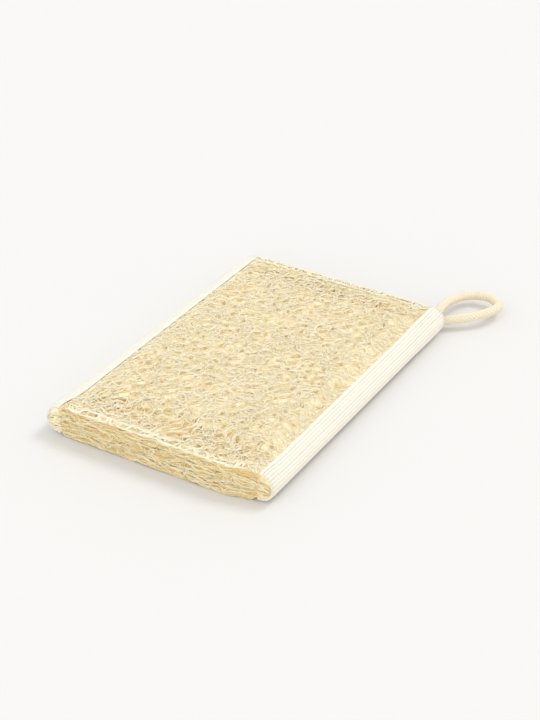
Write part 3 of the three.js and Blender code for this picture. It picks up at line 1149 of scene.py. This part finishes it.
@dataclass
class FoldedTape:
    """Ribbed cotton tape folded over one long side."""

    shape: PadShape
    side: Side
    cotton: bpy.types.Material
    ribs: int = 12
    rib_depth: float = 0.26 * MM
    selvedge: float = 1.5 * MM
    end_drop: float = 0.2 * MM
    end_round: float = 1.2 * MM
    swell: float = 0.11
    swell_start: float = 36 * MM
    swell_length: float = 12 * MM
    rung_pitch: float = 0.9 * MM
    rung_radius: float = 0.14 * MM
    rung_overlap: float = 0.1 * MM
    rung_follow: float = 0.5
    rung_sink: float = 0.4
    ladder_columns: int = 3
    rib_shape: float = 0.6
    roll_rise: float = 0.9
    roll_sink: float = 0.6
    groove_share: float = 0.1
    depth_margin: float = 0.05 * MM
    columns: int = 48
    rows: int = 168

    @property
    def radius(self) -> float:
        """Outer radius of the fold."""
        return (self.shape.tape_high - self.shape.tape_low) / 2

    @property
    def middle(self) -> float:
        """Height of the fold's middle."""
        return self.shape.tape_low + self.radius

    @property
    def flap(self) -> float:
        """Length of each flat flap."""
        return self.shape.bend - self.shape.tape_inner

    @property
    def rib_pitch(self) -> float:
        """Distance from rib to rib, between the two selvedges."""
        return (self.run - 2 * self.selvedge) / self.ribs

    @property
    def run(self) -> float:
        """The tape's width, measured round its outside."""
        return 2 * self.flap + math.pi * self.radius

    def place(self, run: Array, y: Array, lift: Array) -> Array:
        """Puts points of the unfolded tape in space.

        Args:
            run: Their distance from the top flap's inner edge, round the outside.
            y: Their place along the tape.
            lift: How far they stand out from its outer face.

        Returns:
            The points.
        """
        turn = np.clip((run - self.flap) / self.radius, 0, math.pi)
        upper = np.maximum(self.flap - run, 0) * (1 - self.shape.flap_loss * self.shape.flared(y))
        spare = upper + np.maximum(run - self.run + self.flap, 0)
        reach = self.radius + lift - self.pinch(y)
        x = self.shape.bend - spare + reach * np.sin(turn)
        rise = reach * np.cos(turn)
        rise = rise * self.swelling(y, rise)
        x = self.side.value * x
        return np.stack([x, y + self.shape.setback(x, y), self.middle + rise], axis=-1)

    def pinch(self, y: Array) -> Array:
        """Returns how much slimmer the fold is at its two ends."""
        end = self.shape.half_length
        return self.end_drop * smooth_step(np.abs(y), end - self.end_round, end)

    def swelling(self, y: Array, rise: Array) -> Array:
        """Returns how much thicker the fold is over the cord ends, and at the front end's upper half."""
        cords = self.swell * smooth_step(y, self.swell_start, self.swell_start + self.swell_length)
        front = np.where(rise > 0, self.shape.flare * self.shape.flared(y), 0)
        return 1 + front + (cords if self.side is Side.RIGHT else 0)

    def relief(self, run: Array) -> Array:
        """Returns how far the ribs and the rolled selvedges stand out."""
        edge = np.minimum(run, self.run - run)
        ribs = np.abs(np.sin(math.pi * (edge - self.selvedge) / self.rib_pitch)) ** self.rib_shape
        roll = np.sqrt(np.clip(1 - ((edge - self.selvedge / 2) / (self.selvedge / 2)) ** 2, 0, 1))
        rolled = self.roll_rise * self.rib_depth * (roll - self.roll_sink)
        return np.where(edge < self.selvedge, rolled, self.rib_depth * (ribs - 1))

    def depth(self, points: Array) -> Array:
        """Returns how far points lie below the tape's outer face."""
        out = np.maximum(np.abs(points[:, 0]) - self.shape.bend, 0)
        y = points[:, 1] - self.shape.setback(points[:, 0], points[:, 1])
        rise = points[:, 2] - self.middle
        rise = rise / self.swelling(y, rise)
        below = self.radius - self.pinch(y) - np.hypot(out, rise)
        return np.where(below > self.rib_depth + self.depth_margin, 0, below)

    def build(self) -> None:
        """Builds the tape and its cross threads."""
        name = f"edge_tape_{self.side.name.lower()}"
        threads = self.cross_threads(name)

        def place(along: Array, around: Array) -> Array:
            """Places the tape's outer face, from the top flap's inner edge round to the lower one's."""
            run = around * self.run
            y = self.side.value * (1 - 2 * along) * self.shape.half_length
            return self.place(run, y, self.relief(run))

        wall = self.shape.cloth_wall - self.groove_share * self.rib_depth
        mesh = wrapped_grid(name + "_cloth", self.columns, self.rows, place, wall)
        # Painted shade: the finish paints the rib grooves warmer and darker by this depth.
        write_depth(mesh, self.depth)
        cloth = new_object(name + "_cloth", mesh, self.cotton)
        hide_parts(name)

    def cross_threads(self, name: str) -> bpy.types.Object:
        """Builds the fine threads that cross the first ribs of the upper face and of the lower face.

        Args:
            name: The tape's name.

        Returns:
            The piece.
        """
        bundle = StrandBundle(name + "_cross_threads", FIBRE_SIDES)
        room = 2 * (self.shape.half_length - self.end_round)
        width = self.ladder_columns * self.rib_pitch
        start = self.selvedge - self.rung_overlap
        run = np.linspace(start, self.selvedge + width, 2 * self.ladder_columns + 1)
        lift = self.rung_follow * self.relief(run) - self.rung_sink * self.rung_radius
        radii = np.full(len(run), self.rung_radius)
        for index in range(int(room / self.rung_pitch)):
            y = np.full(len(run), (index + 0.5) * self.rung_pitch - room / 2)
            bundle.add(self.place(run, y, lift), radii)
            bundle.add(self.place(self.run - run, y, lift), radii)
        mesh = bundle.to_mesh()
        # Painted shade: the finish paints the threads warmer and darker where they sink between the ribs.
        write_depth(mesh, self.depth)
        piece = new_object(mesh.name, mesh, self.cotton)
        return piece


@dataclass
class BraidedLoop:
    """Braided cotton cord, bent double, with both ends inside the far end of the right tape."""

    cotton: bpy.types.Material
    tape_middle: float
    diameter: float = 3.4 * MM
    lift: float = 1.85 * MM
    seat: tuple[float, float] = (36.35 * MM, 51.5 * MM)
    yarns: int = 6
    lay_length: float = 8 * MM
    yarn_radius: float = 0.47 * MM
    weave: float = 0.2 * MM
    step: float = 0.28 * MM
    curve_steps: int = 12
    yarn_sides: int = 5

    def route(self) -> Array:
        """Returns the points that the cord follows, from its upper end round to its lower end."""
        high = (self.tape_middle + self.lift) / MM
        low = (self.tape_middle - self.lift) / MM
        x, y = self.seat[0] / MM, self.seat[1] / MM
        points = [
            (x, y, high),
            (x, 56, high),
            (x, 60, high - 0.05),
            (35.9, 64.2, 6.9),
            (35.55, 68.85, 6.4),
            (35.5, 73.85, 5.4),
            (35.95, 78.95, 4.25),
            (37.5, 83.3, 3.6),
            (40.55, 85.95, 3.45),
            (44.35, 86.55, 3.5),
            (47.95, 85.1, 3.6),
            (50.3, 82.05, 3.95),
            (50.8, 78.25, 4.55),
            (49.35, 74.3, 4.6),
            (46.75, 70.7, 4.3),
            (43.7, 67.8, 3.95),
            (40.8, 65.55, 3.6),
            (38.5, 63.65, 3.3),
            (37.1, 61.5, 3.15),
            (36.45, 58.7, low + 0.05),
            (x, 55, low),
            (x, y, low),
        ]
        return np.array(points) * MM

    def centre_line(self) -> Array:
        """Returns the cord's centre line, evenly stepped along a smooth curve through the route."""
        points = self.route()
        ends = np.vstack([2 * points[0] - points[1], points, 2 * points[-1] - points[-2]])
        fine = [points[0]]
        for before, start, end, after in zip(ends, ends[1:], ends[2:], ends[3:]):
            pairs = ((before, start), (start, end), (end, after))
            first, middle, last = [math.sqrt(np.linalg.norm(b - a)) for a, b in pairs]
            leave = (start - before) / first - (end - before) / (first + middle)
            leave = leave * middle + end - start
            arrive = (after - end) / last - (after - start) / (middle + last)
            arrive = arrive * middle + end - start
            for share in np.linspace(0, 1, self.curve_steps + 1)[1:]:
                cube, square = share**3, share**2
                fine.append(
                    (2 * cube - 3 * square + 1) * start
                    + (cube - 2 * square + share) * leave
                    + (3 * square - 2 * cube) * end
                    + (cube - square) * arrive
                )
        line = np.array(fine)
        walked = np.concatenate([[0], np.cumsum(np.linalg.norm(np.diff(line, axis=0), axis=1))])
        even = np.linspace(0, walked[-1], int(walked[-1] / self.step) + 1)
        return np.stack([np.interp(even, walked, line[:, axis]) for axis in range(3)], axis=-1)

    def frames(self, line: Array) -> tuple[Array, Array]:
        """Returns two directions square to the line at each point, which turn as little as they can."""
        forward = unit(np.gradient(line, axis=0))
        sideways = np.empty_like(line)
        current = np.array([1.0, 0.0, 0.0])
        for index, direction in enumerate(forward):
            current = current - direction * current.dot(direction)
            current = current / np.linalg.norm(current)
            sideways[index] = current
        return sideways, np.cross(forward, sideways)

    def build(self) -> None:
        line = self.centre_line()
        length = float(np.linalg.norm(np.diff(line, axis=0), axis=1).sum())
        first, second = self.frames(line)
        bundle = StrandBundle("hanging_loop_braid", self.yarn_sides)
        walked = np.linspace(0, length, len(line))
        ring = self.diameter / 2 - self.yarn_radius - self.weave
        for way in (1, -1):
            rise = ring + way * self.weave * np.cos(2 * self.yarns * math.pi * walked / self.lay_length)
            for yarn in range(self.yarns):
                turn = TAU * yarn / self.yarns + way * TAU * walked / self.lay_length
                out = np.cos(turn)[:, None] * first + np.sin(turn)[:, None] * second
                bundle.add(line + rise[:, None] * out, np.full(len(line), self.yarn_radius))
        bundle.add(line, np.full(len(line), ring))
        mesh = bundle.to_mesh()
        tree = KDTree(len(line))
        for index, point in enumerate(line):
            tree.insert(point, index)
        tree.balance()
        # Painted shade: the finish paints the cord warmer and darker between its yarns and towards its
        # middle.
        write_depth(mesh, lambda points: self.diameter / 2 - np.array([tree.find(p)[2] for p in points]))
        piece = new_object("hanging_loop_braid", mesh, self.cotton)
        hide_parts("hanging_loop")


@dataclass
class Studio:
    """Pale floor, soft light and the camera."""

    place: tuple[float, float, float] = (0.232475, -0.405606, 0.292226)
    pitch: float = 31.31
    yaw: float = 29.257
    roll: float = 1.536
    focal_pixels: float = 1683.46
    image_long_side: float = 720.0
    sensor: float = 36.0
    floor_size: float = 6.0
    key_strength: float = 0.92
    fill_strength: float = 0.82
    key_spread: float = 24.0
    fill_spread: float = 60.0
    key_heading: tuple[float, float, float] = (-0.35, -0.55, -0.95)
    fill_heading: tuple[float, float, float] = (-0.1, 0.85, -0.5)
    light_colour: Colour = (1.0, 0.99, 0.97)
    sky: float = 0.92
    sky_colour: Colour = (1.0, 0.995, 0.985)
    near_clip: float = 0.01

    def build(self) -> None:
        """Builds the camera, floor, light and sky."""
        self.camera()
        self.floor()
        self.light("key", self.key_strength, self.key_spread, self.key_heading)
        self.light("fill", self.fill_strength, self.fill_spread, self.fill_heading)
        self.world()
        view = bpy.context.scene.view_settings
        view.view_transform = "Standard"
        view.look = "None"
        log.info("studio: camera, floor and light")

    def camera(self) -> None:
        """Makes the camera at the photograph's viewing angle."""
        data = bpy.data.cameras.new("camera")
        data.sensor_width = self.sensor
        data.lens = self.focal_pixels * self.sensor / self.image_long_side
        data.clip_start = self.near_clip
        camera = bpy.data.objects.new("camera", data)
        camera.location = self.place
        turn = Matrix.Rotation(math.radians(self.yaw), 3, "Z")
        tilt = Matrix.Rotation(math.radians(90 - self.pitch), 3, "X")
        roll = Matrix.Rotation(math.radians(self.roll), 3, "Z")
        camera.rotation_euler = (turn @ tilt @ roll).to_euler()
        bpy.context.scene.collection.objects.link(camera)
        bpy.context.scene.camera = camera

    def floor(self) -> None:
        """Makes the floor."""
        plane = bmesh.new()
        bmesh.ops.create_grid(plane, x_segments=1, y_segments=1, size=self.floor_size / 2)
        mesh = bpy.data.meshes.new("floor")
        plane.to_mesh(mesh)
        plane.free()
        mesh.materials.append(FloorFinish().make())
        floor = bpy.data.objects.new("floor", mesh)
        bpy.context.scene.collection.objects.link(floor)

    def light(self, name: str, strength: float, spread: float, heading: tuple[float, float, float]) -> None:
        """Makes a wide soft light.

        Args:
            name: The light's name.
            strength: Its strength.
            spread: How wide it looks from the pad, in degrees.
            heading: The direction that it shines in.
        """
        data = bpy.data.lights.new(name, "SUN")
        data.energy = strength
        data.angle = math.radians(spread)
        data.color = self.light_colour
        light = bpy.data.objects.new(name, data)
        light.rotation_euler = Vector(heading).to_track_quat("-Z", "Y").to_euler()
        bpy.context.scene.collection.objects.link(light)

    def world(self) -> None:
        """Makes the even pale sky."""
        world = bpy.data.worlds.new("sky")
        world.use_nodes = True
        background = world.node_tree.nodes["Background"]
        background.inputs["Color"].default_value = (*self.sky_colour, 1.0)
        background.inputs["Strength"].default_value = self.sky
        bpy.context.scene.world = world


def main() -> None:
    """Builds the studio and every sub-assembly of the pad."""
    logging.basicConfig(level=logging.INFO, format="%(message)s")
    shape = PadShape.from_frame()
    Studio().build()
    tape_cotton = TAPE_COTTON.make()
    tapes = [FoldedTape(shape, side, tape_cotton) for side in Side]
    BraidedLoop(CORD_COTTON.make(), tapes[0].middle).build()
    Netting(shape).build()
    for tape in tapes:
        tape.build()


if __name__ == "__main__":
    main()
